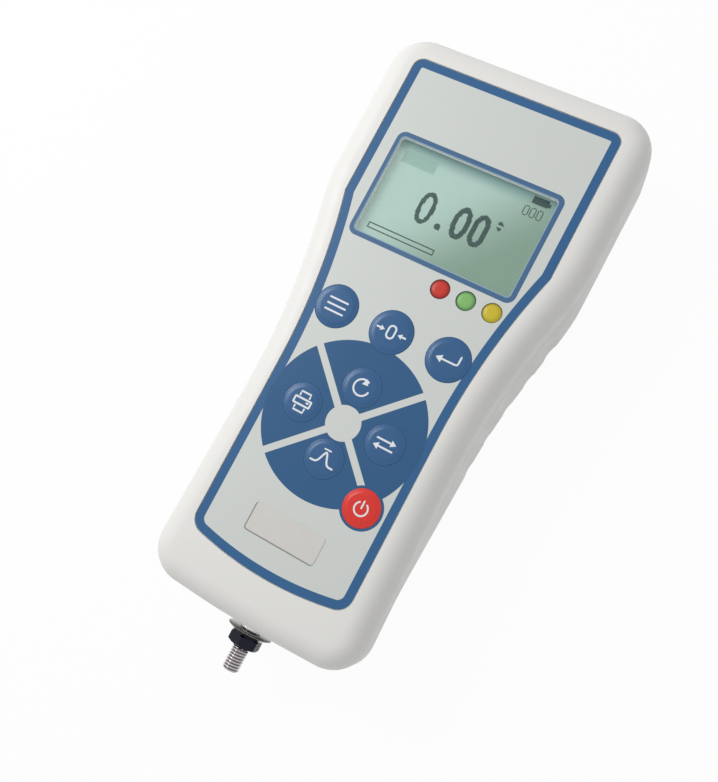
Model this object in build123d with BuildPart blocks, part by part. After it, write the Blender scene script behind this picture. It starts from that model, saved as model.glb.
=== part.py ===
from build123d import *
from math import cos, radians, sin, tan
import os

# Hand-held digital force gauge, modelled lying on its back.
# Frame: X across the body, Y along it towards the head, Z up out of the display.
# The origin is the middle of the overall footprint, on the back face.
# Lengths are in millimetres.

os.makedirs("parts", exist_ok=True)

# --------------------------------------------------------------------------
# Driving dimensions
# --------------------------------------------------------------------------
# Housing: plan at the seam
body_length = 204.3  # tail end to head end
body_depth = 40.0  # back face to rim
head_width = 95.6
waist_width = 74.4  # at the waist corner of the plan
tail_width = 79.4
shoulder_from_head = 58.6  # head end to the corner where the neck starts
neck_length = 46.8  # along the body, between the corners at the neck's ends
tail_flat = 24.0  # straight part in the middle of the tail
tail_fall = 1.2  # how far the tail edge falls back at its corners
head_corner = 13.0
shoulder_ease = 8.95  # how far from its corner the shoulder starts to turn
neck_ease = 32.4
tail_corner = 12.5
tail_bend = 150.0

# Housing: how the plan changes from the seam to the back face
back_head_draft = 0.8
back_tail_draft = 5.8
back_end_draft = 1.0
back_shoulder_from_head = 68.4
back_neck_length = 39.0
back_grip_width = 80.8
back_shoulder_ease = 5.0
back_grip_ease = 9.9

# Housing: walls and edges
seam_height = 24.0  # back face to the joint between the shells
wall = 2.8
front_roll = 8.0  # radius that rolls the rim into the side wall
back_roll = 9.0
roll_steps = 4  # flats that make up the back roll

# Finger flutes in the grip flanks
flute_count = 5
flute_pitch = 11.8
flute_first_from_head = 78.3
flute_radius = 10.0
flute_depth = 1.5  # at the back face; each flute fades out at the seam

# Panel overlay and its recess
overlay_thick = 0.5
overlay_drop = 0.3  # overlay face below the rim
overlay_gap = 0.25  # round the overlay in its recess
front_wall = 2.0  # moulded wall under the overlay
panel_side_head = 10.2  # side of the head to the panel's edge
panel_grip_width = 58.8
panel_margin_head = 9.7  # head end to the panel's top edge
panel_margin_tail = 16.85
panel_shoulder_from_top = 52.4  # where the straight sides end
panel_waist_from_top = 113.2  # where the curved neck meets the straight grip
panel_tail_bend = 118.0
panel_top_corner = 3.5
panel_tail_corner = 5.5

# Keypad; positions run from the middle of the four-way pad
pad_from_tail = 71.9
pad_key_radius = 6.65
pad_key_reach_across = 15.4
pad_key_reach_along = 12.9
row_key_radius = 7.4
row_key_pitch = 20.7
row_from_pad = 33.2
power_key_radius = 6.35
power_key_across = 18.3
power_key_along = 21.0
key_gap = 0.15  # round each key in the overlay and the shell
key_edge_rise = 0.2  # key rim above the overlay
key_crown = 0.3  # top of the dome above the key's rim
key_bevel = 1.2
key_flange = 1.0  # retaining flange: step and thickness
key_float = 0.1  # flange to the shell at rest
key_travel = 0.5
key_foot_radius = 1.8
key_stop_gap = 0.1  # foot to switch when fully pressed

# Indicator lamps
lamp_radius = 3.25
lamp_gap = 0.1
lamp_first_across = 7.5
lamp_pitch = 9.3
lamps_from_pad = 52.8
lamp_base_radius = 3.9
lamp_base_thick = 1.5

# Display
window_side = 19.2  # side of the head to the opening
window_height = 35.4
window_from_pad = 77.2
window_corner = 1.2
window_sink = 1.3  # overlay face to the pane
pane_thick = 1.0
pane_lap = 1.9  # pane and display module beyond the opening
pane_gap = 0.2
bezel_lip = 0.4
bezel_wall = 0.6
bezel_lap = 0.8  # bezel over the glass
glass_thick = 1.8

# Main board
board_drop = 4.2  # moulded ceiling to board
board_thick = 1.6
board_head_gap = 3.0  # board to the inside of the head end
board_from_tail = 30.0
board_margin = 0.8  # board beyond the display module
switch_size = 6.0
switch_height = 1.5
board_post_radius = 2.6
board_screw_radius = 1.0
board_screw_head = 2.0
board_screw_inset = 4.4

# Case screws and their posts
case_post_radius = 4.0
case_screw_radius = 1.5
case_screw_head_radius = 2.8
case_screw_head_height = 2.0
case_bore_gap = 0.2
case_bore_depth = 4.0
case_screw_bite = 9.0  # screw length above the seam
thread_gap = 0.05
head_post_inset = 11.7  # post centres from the side at the head
head_post_from_head = 15.4
neck_post_from_head = 66.0
tail_post_inset = 13.0
tail_post_from_tail = 14.4

# Sensing shaft, collar, lock nut and bush
stud_radius = 3.0  # M6
shaft_reach = 17.6  # tail end to the stud's tip
shaft_radius = 4.0
shaft_running_gap = 0.05
shaft_stroke = 0.3  # give of the load cell each way at full load
collar_radius = 8.0
collar_thick = 1.4
collar_from_tail = 2.5
nut_across_flats = 10.0
nut_thick = 4.6
nut_gap = 0.2  # lock nut to collar
bush_radius = 5.5
bush_flange_radius = 7.0
bush_flange_thick = 1.0
bush_length = 9.0
cradle_width = 18.0
stud_chamfer = 0.6
stud_relief = 0.55  # undercut of the stud, down to its thread's root
stud_free_gap = 0.3  # lock nut to the full thread

# Load cell and its bracket
cell_width = 40.0
cell_length = 50.0
cell_thick = 14.0
cell_from_tail = 16.0
cell_slot = 2.4
cell_arm = 11.0  # depth of the foot and head arms
cell_web_hole = 6.0
cell_socket_depth = 7.0
bracket_thick = 4.0
bracket_width = 44.0
bracket_foot = 16.0
bracket_post_height = 4.0
bracket_screw_radius = 2.0
bracket_screw_across = 32.0
cell_bolt_radius = 2.5
cell_bolt_head_radius = 5.0
cell_bolt_head = 4.0
cell_bolt_bite = 8.0

# Threaded inserts for a test stand
stand_spacing_across = 40.0
stand_spacing_along = 80.0
stand_from_middle = 21.6  # middle of the housing to the middle of the pattern
insert_bore_radius = 2.0  # M4
insert_radius = 3.0
insert_length = 9.0
insert_boss_wall = 2.0

# Battery pack
cell_count = 4
battery_side = 19.0  # side of the head to the pack, past the case posts
battery_length = 50.5
battery_from_head = 16.0
battery_rib = 1.5
battery_rib_height = 8.0
battery_gap = 0.3

# Connectors and sounder under the board
data_port_width = 9.0
data_port_height = 4.0
data_port_depth = 10.0
data_socket_width = 7.0
data_socket_height = 2.4
data_socket_depth = 6.0
jack_radius = 3.3
jack_bore_radius = 1.75
jack_body = 9.0
jack_pin_radius = 0.6
jack_bore_depth = 8.0
port_spacing = 26.0
port_gap = 0.15
port_setback = 0.5  # connector mouths inside the head end
sounder_radius = 6.0
sounder_height = 4.5
sounder_from_pad = 24.0

# Flat lead from load cell to board
lead_width = 8.0
lead_thick = 0.3
lead_land = 8.0
lead_run = 14.0

# --------------------------------------------------------------------------
# Levels and stations worked out from the driving dimensions
# --------------------------------------------------------------------------
overall_length = body_length + shaft_reach
tail_y = shaft_reach - overall_length / 2
head_y = tail_y + body_length
pad_y = tail_y + pad_from_tail
axis_z = body_depth / 2

overlay_top = body_depth - overlay_drop
overlay_under = overlay_top - overlay_thick
ceiling_z = overlay_under - front_wall
board_top = ceiling_z - board_drop
board_under = board_top - board_thick
floor_z = wall

window_y = pad_y + window_from_pad
row_y = pad_y + row_from_pad
lamps_y = pad_y + lamps_from_pad
pane_top = overlay_top - window_sink
pane_under = pane_top - pane_thick
glass_top = pane_under - bezel_lip
glass_under = glass_top - glass_thick

key_places = {
    "key_menu": (-row_key_pitch, row_y, row_key_radius),
    "key_zero": (0, row_y, row_key_radius),
    "key_enter": (row_key_pitch, row_y, row_key_radius),
    "key_reset": (0, pad_y + pad_key_reach_along, pad_key_radius),
    "key_print": (-pad_key_reach_across, pad_y, pad_key_radius),
    "key_unit": (pad_key_reach_across, pad_y, pad_key_radius),
    "key_mode": (0, pad_y - pad_key_reach_along, pad_key_radius),
    "key_power": (power_key_across, pad_y - power_key_along, power_key_radius),
}
lamp_names = ["led_red", "led_green", "led_yellow"]
lamp_places = [
    (lamp_first_across + lamp_pitch * index, lamps_y) for index in range(len(lamp_names))
]

post_places = [
    (side * x, y)
    for side in (-1, 1)
    for x, y in (
        (head_width / 2 - head_post_inset, head_y - head_post_from_head),
        (head_width / 2 - head_post_inset, head_y - neck_post_from_head),
        (tail_width / 2 - tail_post_inset, tail_y + tail_post_from_tail),
    )
]

window_width = head_width - 2 * window_side
module_width = window_width + 2 * pane_lap
module_height = window_height + 2 * pane_lap
board_width = module_width + 2 * board_margin
board_head = head_y - wall - board_head_gap
board_tail = tail_y + board_from_tail
board_post_places = [
    (side * (board_width / 2 - board_screw_inset), y)
    for side in (-1, 1)
    for y in (board_head - board_screw_inset, board_tail + board_screw_inset)
]

cell_tail = tail_y + cell_from_tail
cell_head = cell_tail + cell_length
cell_top = axis_z + cell_thick / 2
cell_under = axis_z - cell_thick / 2
bracket_under = floor_z + bracket_post_height
bracket_top = bracket_under + bracket_thick
bracket_screw_y = cell_head + bracket_thick + (bracket_foot - bracket_thick) / 2
bracket_screw_places = [(side * bracket_screw_across / 2, bracket_screw_y) for side in (-1, 1)]

battery_width = head_width - 2 * battery_side
battery_radius = battery_width / cell_count / 2
battery_head = head_y - battery_from_head
battery_tail = battery_head - battery_length

stand_y = tail_y + body_length / 2 - stand_from_middle
insert_places = [
    (across * stand_spacing_across / 2, stand_y + along * stand_spacing_along / 2)
    for across in (-1, 1)
    for along in (-1, 1)
]


port_x = port_spacing / 2
port_z = board_under - data_port_height / 2
jack_z = board_under - jack_radius


# --------------------------------------------------------------------------
# Plans shared by several pieces
# --------------------------------------------------------------------------
def closed_plan(right_side, bends):
    """Close a right-hand row of corners with its mirror image, each corner rounded."""
    left_side = [(-x, y) for x, y in reversed(right_side)]
    with BuildSketch() as plan:
        with BuildLine():
            FilletPolyline(*right_side, *left_side, radius=bends + bends[::-1], close=True)
        make_face()
    return plan.sketch


def eased_bend(before, corner, after, ease):
    """Radius that rounds a corner when the curve starts at a given distance from it."""
    leg_in = Vector(before) - Vector(corner)
    leg_out = Vector(after) - Vector(corner)
    return ease * tan(radians(leg_in.get_angle(leg_out) / 2))


def housing_plan(depth=0.0):
    """Plan of the housing: the seam's at depth 0, the back face's at depth 1."""
    head_half = head_width / 2
    tail_half = tail_width / 2
    seam_corners = [
        (head_half, head_y),
        (head_half, head_y - shoulder_from_head),
        (waist_width / 2, head_y - shoulder_from_head - neck_length),
        (tail_half, tail_y + tail_fall),
        (tail_flat / 2, tail_y),
    ]
    back_corners = [
        (head_half - back_head_draft, head_y - back_end_draft),
        (head_half - back_head_draft, head_y - back_shoulder_from_head),
        (back_grip_width / 2, head_y - back_shoulder_from_head - back_neck_length),
        (tail_half - back_tail_draft, tail_y + tail_fall + back_end_draft),
        (tail_flat / 2, tail_y + back_end_draft),
    ]
    corners = [
        (x + depth * (back_x - x), y + depth * (back_y - y))
        for (x, y), (back_x, back_y) in zip(seam_corners, back_corners)
    ]
    shoulder = shoulder_ease + depth * (back_shoulder_ease - shoulder_ease)
    neck = neck_ease + depth * (back_grip_ease - neck_ease)
    side_bends = [eased_bend(*corners[0:3], shoulder), eased_bend(*corners[1:4], neck)]
    return closed_plan(corners, [head_corner, *side_bends, tail_corner, tail_bend])


def half_width(depth, y):
    """Distance from the middle to the side of the housing at a station along it."""
    reach = Edge.make_line((0, y, 0), (body_length, y, 0))
    return reach.intersect(housing_plan(depth).face())[0].length


def panel_plan():
    """Plan of the overlay: straight head, curved neck, straight grip, bowed tail."""
    top = head_y - panel_margin_head
    head_half = head_width / 2 - panel_side_head
    grip_half = panel_grip_width / 2
    bottom = tail_y + panel_margin_tail
    corner_y = bottom + panel_tail_bend - (panel_tail_bend**2 - grip_half**2) ** 0.5
    waist = (grip_half, top - panel_waist_from_top)
    shoulder = (head_half, top - panel_shoulder_from_top)
    with BuildSketch() as plan:
        with BuildLine():
            Polyline((0, top), (head_half, top), shoulder)
            TangentArc(waist, shoulder, tangent=(0, 1))
            Line(waist, (grip_half, corner_y))
            RadiusArc((grip_half, corner_y), (0, bottom), panel_tail_bend)
            mirror(about=Plane.YZ)
        make_face()
        corners = plan.vertices().group_by(Axis.Y)
        fillet(corners[-1], panel_top_corner)
        outer = [v for v in plan.vertices() if abs(v.Y - corner_y) < 0.01]
        fillet(outer, panel_tail_corner)
    return plan.sketch


def ring_holes(places, radius, bottom, top):
    """Cut a round hole at each place between two levels, in the open BuildPart."""
    with BuildSketch(Plane.XY.offset(bottom)) as rounds:
        with Locations(*places):
            Circle(radius)
    extrude(rounds.sketch, amount=top - bottom, mode=Mode.SUBTRACT)


def posts(places, radius, bottom, top):
    """Raise a round post at each place between two levels, in the open BuildPart."""
    with BuildSketch(Plane.XY.offset(bottom)) as rounds:
        with Locations(*places):
            Circle(radius)
    extrude(rounds.sketch, amount=top - bottom)


def block(width, length, centre_y, bottom, top, mode=Mode.ADD):
    """Extrude a rectangle centred on the Y axis between two levels."""
    with BuildSketch(Plane.XY.offset(bottom)) as base:
        with Locations((0, centre_y)):
            Rectangle(width, length)
    extrude(base.sketch, amount=top - bottom, mode=mode)


def connector_openings():
    """Cut both connector mouths through the head end, in the open BuildPart."""
    with BuildSketch(Plane.XZ.offset(-head_y)) as mouths:
        with Locations((-port_x, port_z)):
            Rectangle(data_port_width + 2 * port_gap, data_port_height + 2 * port_gap)
        with Locations((port_x, jack_z)):
            Circle(jack_radius + port_gap)
    extrude(mouths.sketch, amount=2 * wall, mode=Mode.SUBTRACT)


# Plane facing the tail, standing on the sensing axis, at a distance towards the head
def tail_plane(distance):
    return Plane(origin=(0, tail_y + distance, axis_z), x_dir=(1, 0, 0), z_dir=(0, -1, 0))


# --------------------------------------------------------------------------
# Front shell
# --------------------------------------------------------------------------
with BuildPart() as front_cavity:
    with BuildSketch(Plane.XY.offset(seam_height)):
        add(housing_plan())
        offset(amount=-wall)
    extrude(amount=ceiling_z - seam_height)
    chamfer(front_cavity.faces().sort_by(Axis.Z)[-1].edges(), front_roll - wall)

with BuildPart() as front_shell:
    with BuildSketch(Plane.XY.offset(seam_height)):
        add(housing_plan())
    extrude(amount=body_depth - seam_height)
    fillet(front_shell.faces().sort_by(Axis.Z)[-1].edges(), front_roll)
    add(front_cavity.part, mode=Mode.SUBTRACT)
    # posts for the case screws and the board
    posts(post_places, case_post_radius, seam_height, ceiling_z)
    posts(board_post_places, board_post_radius, board_top, ceiling_z)
    # cradle that closes over the shaft bush
    cradle_length = bush_length - bush_flange_thick - wall
    block(cradle_width, cradle_length, tail_y + wall + cradle_length / 2, seam_height, ceiling_z)
    # recess for the overlay
    with BuildSketch(Plane.XY.offset(overlay_under)):
        add(panel_plan())
        offset(amount=overlay_gap)
    extrude(amount=body_depth - overlay_under, mode=Mode.SUBTRACT)
    # display opening, stepped to hold the pane from inside
    with BuildSketch(Plane.XY.offset(pane_top)):
        with Locations((0, window_y)):
            RectangleRounded(window_width, window_height, window_corner)
    extrude(amount=overlay_under - pane_top, mode=Mode.SUBTRACT)
    pocket = (module_width + 2 * pane_gap, module_height + 2 * pane_gap)
    block(*pocket, window_y, ceiling_z, pane_top, Mode.SUBTRACT)
    # key and lamp holes
    for x, y, radius in key_places.values():
        ring_holes([(x, y)], radius + key_gap, ceiling_z, overlay_under)
    ring_holes(lamp_places, lamp_radius + lamp_gap, ceiling_z, overlay_under)
    # pilot holes for screws
    pilot_top = seam_height + case_screw_bite + thread_gap
    ring_holes(post_places, case_screw_radius + thread_gap, seam_height, pilot_top)
    board_pilot_top = board_top + 3 * board_screw_radius
    ring_holes(board_post_places, board_screw_radius + thread_gap, board_top, board_pilot_top)
    # seat of the bush
    with BuildSketch(tail_plane(0)):
        Circle(bush_radius + thread_gap)
    extrude(amount=-bush_length, mode=Mode.SUBTRACT)
    connector_openings()
front_shell.part.label = "front_shell"
export_step(front_shell.part, "parts/front_shell.step")


# --------------------------------------------------------------------------
# Back shell
# --------------------------------------------------------------------------
def rolled_wedge(inset, steps):
    """Solid behind the seam, drawn in by an inset, with its back edge rolled under in steps."""
    roll = back_roll - inset
    turns = [90 * step / steps for step in range(steps + 1)]
    sections = [(inset + roll * (1 - sin(radians(a))), roll * (1 - cos(radians(a)))) for a in turns]
    with BuildPart() as solid:
        for level, draw_in in [(seam_height, 0)] + sections:
            with BuildSketch(Plane.XY.offset(level)):
                add(housing_plan(1 - level / seam_height))
                offset(amount=-inset - draw_in)
        loft(ruled=True)
    return solid.part


with BuildPart() as back_shell:
    add(rolled_wedge(0, roll_steps))
    # finger flutes, leaning so that they fade out at the seam
    for side in (-1, 1):
        for index in range(flute_count):
            y = head_y - flute_first_from_head - index * flute_pitch
            low_x = half_width(1, y) - flute_depth + flute_radius
            high_x = half_width(0, y) + flute_radius
            flute = Plane(
                origin=(side * low_x, y, 0),
                x_dir=(0, 1, 0),
                z_dir=(side * (high_x - low_x), 0, seam_height),
            )
            with BuildSketch(flute.offset(-flute_radius)):
                Circle(flute_radius)
            extrude(amount=seam_height + flute_radius, mode=Mode.SUBTRACT)
    add(rolled_wedge(wall, 1), mode=Mode.SUBTRACT)
    # posts, bosses and the bush cradle
    posts(post_places, case_post_radius + 1, floor_z, seam_height)
    posts(insert_places, insert_radius + insert_boss_wall, floor_z, insert_length + floor_z)
    posts(bracket_screw_places, bracket_screw_radius + 2, floor_z, bracket_under)
    block(cradle_width, cradle_length, tail_y + wall + cradle_length / 2, floor_z, seam_height)
    # ribs round the battery pack
    with BuildSketch(Plane.XY.offset(floor_z)):
        with Locations((0, (battery_head + battery_tail) / 2)):
            rib_inner = (battery_width + 2 * battery_gap, battery_length + 2 * battery_gap)
            Rectangle(rib_inner[0] + 2 * battery_rib, rib_inner[1] + 2 * battery_rib)
            Rectangle(*rib_inner, mode=Mode.SUBTRACT)
    extrude(amount=battery_rib_height)
    # screw bores from the back
    bore_radius = case_screw_head_radius + case_bore_gap
    ring_holes(post_places, bore_radius, 0, case_bore_depth)
    ring_holes(post_places, case_screw_radius + case_bore_gap, 0, seam_height)
    ring_holes(insert_places, insert_radius + thread_gap, 0, insert_length)
    ring_holes(bracket_screw_places, bracket_screw_radius + thread_gap, 1, bracket_under)
    # seat of the bush
    with BuildSketch(tail_plane(0)):
        Circle(bush_radius + thread_gap)
    extrude(amount=-bush_length, mode=Mode.SUBTRACT)
    connector_openings()
back_shell.part.label = "rear_shell"
export_step(back_shell.part, "parts/rear_shell.step")


# --------------------------------------------------------------------------
# Overlay, keys and lamps
# --------------------------------------------------------------------------
with BuildPart() as overlay:
    with BuildSketch(Plane.XY.offset(overlay_under)):
        add(panel_plan())
        with Locations((0, window_y)):
            RectangleRounded(window_width, window_height, window_corner, mode=Mode.SUBTRACT)
        for x, y, radius in key_places.values():
            with Locations((x, y)):
                Circle(radius + key_gap, mode=Mode.SUBTRACT)
        with Locations(*lamp_places):
            Circle(lamp_radius + lamp_gap, mode=Mode.SUBTRACT)
    extrude(amount=overlay_thick)
overlay.part.label = "panel_overlay"
export_step(overlay.part, "parts/panel_overlay.step")

switch_top = board_top + switch_height
flange_top = ceiling_z - key_float
flange_under = flange_top - key_flange
foot_under = switch_top + key_travel + key_stop_gap
key_rim = overlay_top + key_edge_rise

for key_name, (x, y, radius) in key_places.items():
    with BuildPart() as key:
        with BuildSketch(Plane(origin=(x, y, 0), x_dir=(1, 0, 0), z_dir=(0, -1, 0))):
            with BuildLine():
                Polyline(
                    (0, key_rim + key_crown),
                    (0, foot_under),
                    (key_foot_radius, foot_under),
                    (key_foot_radius, flange_under),
                    (radius + key_flange, flange_under),
                    (radius + key_flange, flange_top),
                    (radius, flange_top),
                    (radius, key_rim),
                    (radius - key_bevel, key_rim + key_crown),
                    close=True,
                )
            make_face()
        revolve(axis=Axis((x, y, 0), (0, 0, 1)))
    key.part.label = key_name
    export_step(key.part, f"parts/{key_name}.step")

for lamp_name, (x, y) in zip(lamp_names, lamp_places):
    with BuildPart() as lamp:
        with BuildSketch(Plane.XY.offset(board_top)):
            with Locations((x, y)):
                Circle(lamp_base_radius)
        extrude(amount=lamp_base_thick)
        with BuildSketch(Plane.XY.offset(board_top)):
            with Locations((x, y)):
                Circle(lamp_radius)
        extrude(amount=overlay_top - board_top)
        chamfer(lamp.edges().group_by(Axis.Z)[-1], lamp_radius / 5)
    lamp.part.label = lamp_name
    export_step(lamp.part, f"parts/{lamp_name}.step")

# --------------------------------------------------------------------------
# Display: pane, bezel, glass and backlight
# --------------------------------------------------------------------------
with BuildPart() as pane:
    block(module_width, module_height, window_y, pane_under, pane_top)
pane.part.label = "display_window"
export_step(pane.part, "parts/display_window.step")

inner_width = module_width - 2 * bezel_wall
inner_height = module_height - 2 * bezel_wall
with BuildPart() as bezel:
    block(module_width, module_height, window_y, board_top, pane_under)
    block(inner_width, inner_height, window_y, board_top, glass_top, Mode.SUBTRACT)
    sight = (inner_width - 2 * bezel_lap, inner_height - 2 * bezel_lap)
    block(*sight, window_y, glass_top, pane_under, Mode.SUBTRACT)
bezel.part.label = "display_bezel"
export_step(bezel.part, "parts/display_bezel.step")

with BuildPart() as glass:
    block(inner_width, inner_height, window_y, glass_under, glass_top)
glass.part.label = "display_glass"
export_step(glass.part, "parts/display_glass.step")

with BuildPart() as backlight:
    block(inner_width, inner_height, window_y, board_top, glass_under)
backlight.part.label = "display_backlight"
export_step(backlight.part, "parts/display_backlight.step")

# --------------------------------------------------------------------------
# Main board and what stands on it
# --------------------------------------------------------------------------
with BuildPart() as board:
    board_middle = (board_head + board_tail) / 2
    block(board_width, board_head - board_tail, board_middle, board_under, board_top)
    ring_holes(board_post_places, board_screw_radius + thread_gap, board_under, board_top)
board.part.label = "main_board"
export_step(board.part, "parts/main_board.step")

with BuildPart() as switches:
    for size, height in ((switch_size, switch_height * 0.8), (switch_size / 2, switch_height)):
        with BuildSketch(Plane.XY.offset(board_top)):
            for x, y, radius in key_places.values():
                with Locations((x, y)):
                    Rectangle(size, size)
        extrude(amount=height)
switches.part.label = "key_switches"
export_step(switches.part, "parts/key_switches.step")

with BuildPart() as board_screws:
    posts(board_post_places, board_screw_head, board_under - board_screw_radius, board_under)
    posts(board_post_places, board_screw_radius, board_under, board_pilot_top - thread_gap)
board_screws.part.label = "board_screws"
export_step(board_screws.part, "parts/board_screws.step")

with BuildPart() as sounder:
    posts([(0, pad_y + sounder_from_pad)], sounder_radius, board_under - sounder_height, board_under)
    ring_holes(
        [(0, pad_y + sounder_from_pad)],
        sounder_radius / 6,
        board_under - sounder_height,
        board_under - sounder_height / 2,
    )
sounder.part.label = "sounder"
export_step(sounder.part, "parts/sounder.step")

mouth_y = head_y - port_setback
with BuildPart() as data_port:
    with BuildSketch(Plane.XZ.offset(-mouth_y)):
        with Locations((-port_x, port_z)):
            Rectangle(data_port_width, data_port_height)
    extrude(amount=data_port_depth)
    with BuildSketch(Plane.XZ.offset(-mouth_y)):
        with Locations((-port_x, port_z)):
            Rectangle(data_socket_width, data_socket_height)
    extrude(amount=data_socket_depth, mode=Mode.SUBTRACT)
data_port.part.label = "data_port"
export_step(data_port.part, "parts/data_port.step")

with BuildPart() as power_jack:
    with BuildSketch(Plane.XZ.offset(-mouth_y)):
        with Locations((port_x, jack_z)):
            Circle(jack_radius)
    extrude(amount=wall + 1)
    with BuildSketch(Plane.XZ.offset(1 + wall - mouth_y)):
        with Locations((port_x, jack_z)):
            Rectangle(jack_body, 2 * jack_radius)
    extrude(amount=jack_body)
    with BuildSketch(Plane.XZ.offset(-mouth_y)):
        with Locations((port_x, jack_z)):
            Circle(jack_bore_radius)
            Circle(jack_pin_radius, mode=Mode.SUBTRACT)
    extrude(amount=jack_bore_depth, mode=Mode.SUBTRACT)
power_jack.part.label = "power_jack"
export_step(power_jack.part, "parts/power_jack.step")

# --------------------------------------------------------------------------
# Load cell, its bracket and the lead to the board
# --------------------------------------------------------------------------
cell_middle = (cell_tail + cell_head) / 2
with BuildPart() as load_cell:
    with BuildSketch(Plane.XY.offset(cell_under)):
        with Locations((0, cell_middle)):
            Rectangle(cell_width, cell_length)
        # two slots, open at opposite sides, make the S
        slot_length = cell_width - cell_arm
        for side, edge in ((1, cell_tail + cell_arm), (-1, cell_head - cell_arm)):
            with Locations((side * cell_arm / 2, edge)):
                Rectangle(slot_length, cell_slot, mode=Mode.SUBTRACT)
        # holes that thin the sensing web
        for side in (-1, 1):
            with Locations((side * cell_web_hole * 0.75, cell_middle)):
                Circle(cell_web_hole, mode=Mode.SUBTRACT)
    extrude(amount=cell_thick)
    # socket for the shaft and hole for the bolt
    with BuildSketch(tail_plane(cell_from_tail)):
        Circle(shaft_radius + shaft_running_gap)
    extrude(amount=-cell_socket_depth, mode=Mode.SUBTRACT)
    with BuildSketch(tail_plane(cell_from_tail + cell_length)):
        Circle(cell_bolt_radius + thread_gap)
    extrude(amount=cell_bolt_bite, mode=Mode.SUBTRACT)
load_cell.part.label = "load_cell"
export_step(load_cell.part, "parts/load_cell.step")

with BuildPart() as bracket:
    foot_y = cell_head + bracket_foot / 2
    block(bracket_width, bracket_foot, foot_y, bracket_under, bracket_top)
    upright_y = cell_head + bracket_thick / 2
    block(bracket_width, bracket_thick, upright_y, bracket_under, cell_top)
    ring_holes(
        bracket_screw_places, bracket_screw_radius + thread_gap, bracket_under, bracket_top
    )
    with BuildSketch(tail_plane(cell_from_tail + cell_length)):
        Circle(cell_bolt_radius + thread_gap)
    extrude(amount=-bracket_thick, mode=Mode.SUBTRACT)
bracket.part.label = "load_cell_bracket"
export_step(bracket.part, "parts/load_cell_bracket.step")

bolt_seat = cell_from_tail + cell_length + bracket_thick
with BuildPart() as cell_bolt:
    with BuildSketch(tail_plane(bolt_seat)):
        Circle(cell_bolt_head_radius)
    extrude(amount=-cell_bolt_head)
    with BuildSketch(tail_plane(bolt_seat)):
        Circle(cell_bolt_radius)
    extrude(amount=bracket_thick + cell_bolt_bite - thread_gap)
cell_bolt.part.label = "load_cell_bolt"
export_step(cell_bolt.part, "parts/load_cell_bolt.step")

with BuildPart() as bracket_screws:
    posts(bracket_screw_places, 2 * bracket_screw_radius, bracket_top, bracket_top + 2)
    posts(bracket_screw_places, bracket_screw_radius, 1.5, bracket_top)
bracket_screws.part.label = "bracket_screws"
export_step(bracket_screws.part, "parts/bracket_screws.step")

lead_start = cell_head - lead_land
lead_low = cell_top + lead_thick / 2
lead_high = board_under - lead_thick / 2
with BuildPart() as lead:
    with BuildSketch(Plane.YZ.offset(-lead_width / 2)):
        with BuildLine() as lead_path:
            FilletPolyline(
                (lead_start, lead_low),
                (lead_start + lead_land, lead_low),
                (lead_start + lead_run, lead_high),
                (lead_start + lead_run + lead_land, lead_high),
                radius=(lead_high - lead_low) / 2,
            )
        trace(lead_path.line, line_width=lead_thick)
    extrude(amount=lead_width)
lead.part.label = "load_cell_lead"
export_step(lead.part, "parts/load_cell_lead.step")

# --------------------------------------------------------------------------
# Sensing shaft, collar, lock nut and bush
# --------------------------------------------------------------------------
collar_face = -collar_from_tail
collar_end = collar_face - collar_thick
nut_face = collar_end - nut_gap
relief_end = nut_face - nut_thick - stud_free_gap
neck_radius = stud_radius - stud_relief
shaft_inner_end = cell_from_tail + cell_socket_depth - 2 * shaft_stroke
with BuildPart() as shaft:
    with BuildSketch(tail_plane(shaft_inner_end)):
        Circle(shaft_radius)
    extrude(amount=shaft_inner_end - collar_face)
    with BuildSketch(tail_plane(collar_face)):
        Circle(neck_radius)
    extrude(amount=collar_face - relief_end)
    with BuildSketch(tail_plane(relief_end)):
        Circle(stud_radius)
    extrude(amount=relief_end + shaft_reach)
    chamfer(shaft.edges().group_by(Axis.Y)[0], stud_chamfer)
shaft.part.label = "sensing_shaft"
export_step(shaft.part, "parts/sensing_shaft.step")

with BuildPart() as collar:
    with BuildSketch(tail_plane(collar_face)):
        Circle(collar_radius)
        Circle(neck_radius + thread_gap, mode=Mode.SUBTRACT)
    extrude(amount=collar_thick)
    chamfer(collar.edges().group_by(Axis.Y)[0].sort_by(SortBy.RADIUS)[-1], collar_thick / 3)
collar.part.label = "shaft_collar"
export_step(collar.part, "parts/shaft_collar.step")

nut_corner = nut_across_flats / 3**0.5
with BuildPart() as nut:
    with BuildSketch(tail_plane(nut_face)):
        RegularPolygon(nut_corner, 6)
    extrude(amount=nut_thick)
    # chamfered corners: the part of a cone that lies inside the hexagon
    with BuildSketch(Plane(origin=(0, tail_y + nut_face, axis_z), x_dir=(1, 0, 0), z_dir=(0, 0, 1))):
        with BuildLine():
            bevel = nut_corner - nut_across_flats / 2
            Polyline(
                (0, 0),
                (nut_across_flats / 2, 0),
                (nut_corner, -bevel * 0.6),
                (nut_corner, -nut_thick + bevel * 0.6),
                (nut_across_flats / 2, -nut_thick),
                (0, -nut_thick),
                close=True,
            )
        make_face()
    revolve(axis=Axis((0, 0, axis_z), (0, 1, 0)), mode=Mode.INTERSECT)
    with BuildSketch(tail_plane(nut_face)):
        Circle(neck_radius + shaft_running_gap)
    extrude(amount=nut_thick, mode=Mode.SUBTRACT)
nut.part.label = "lock_nut"
export_step(nut.part, "parts/lock_nut.step")

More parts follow.
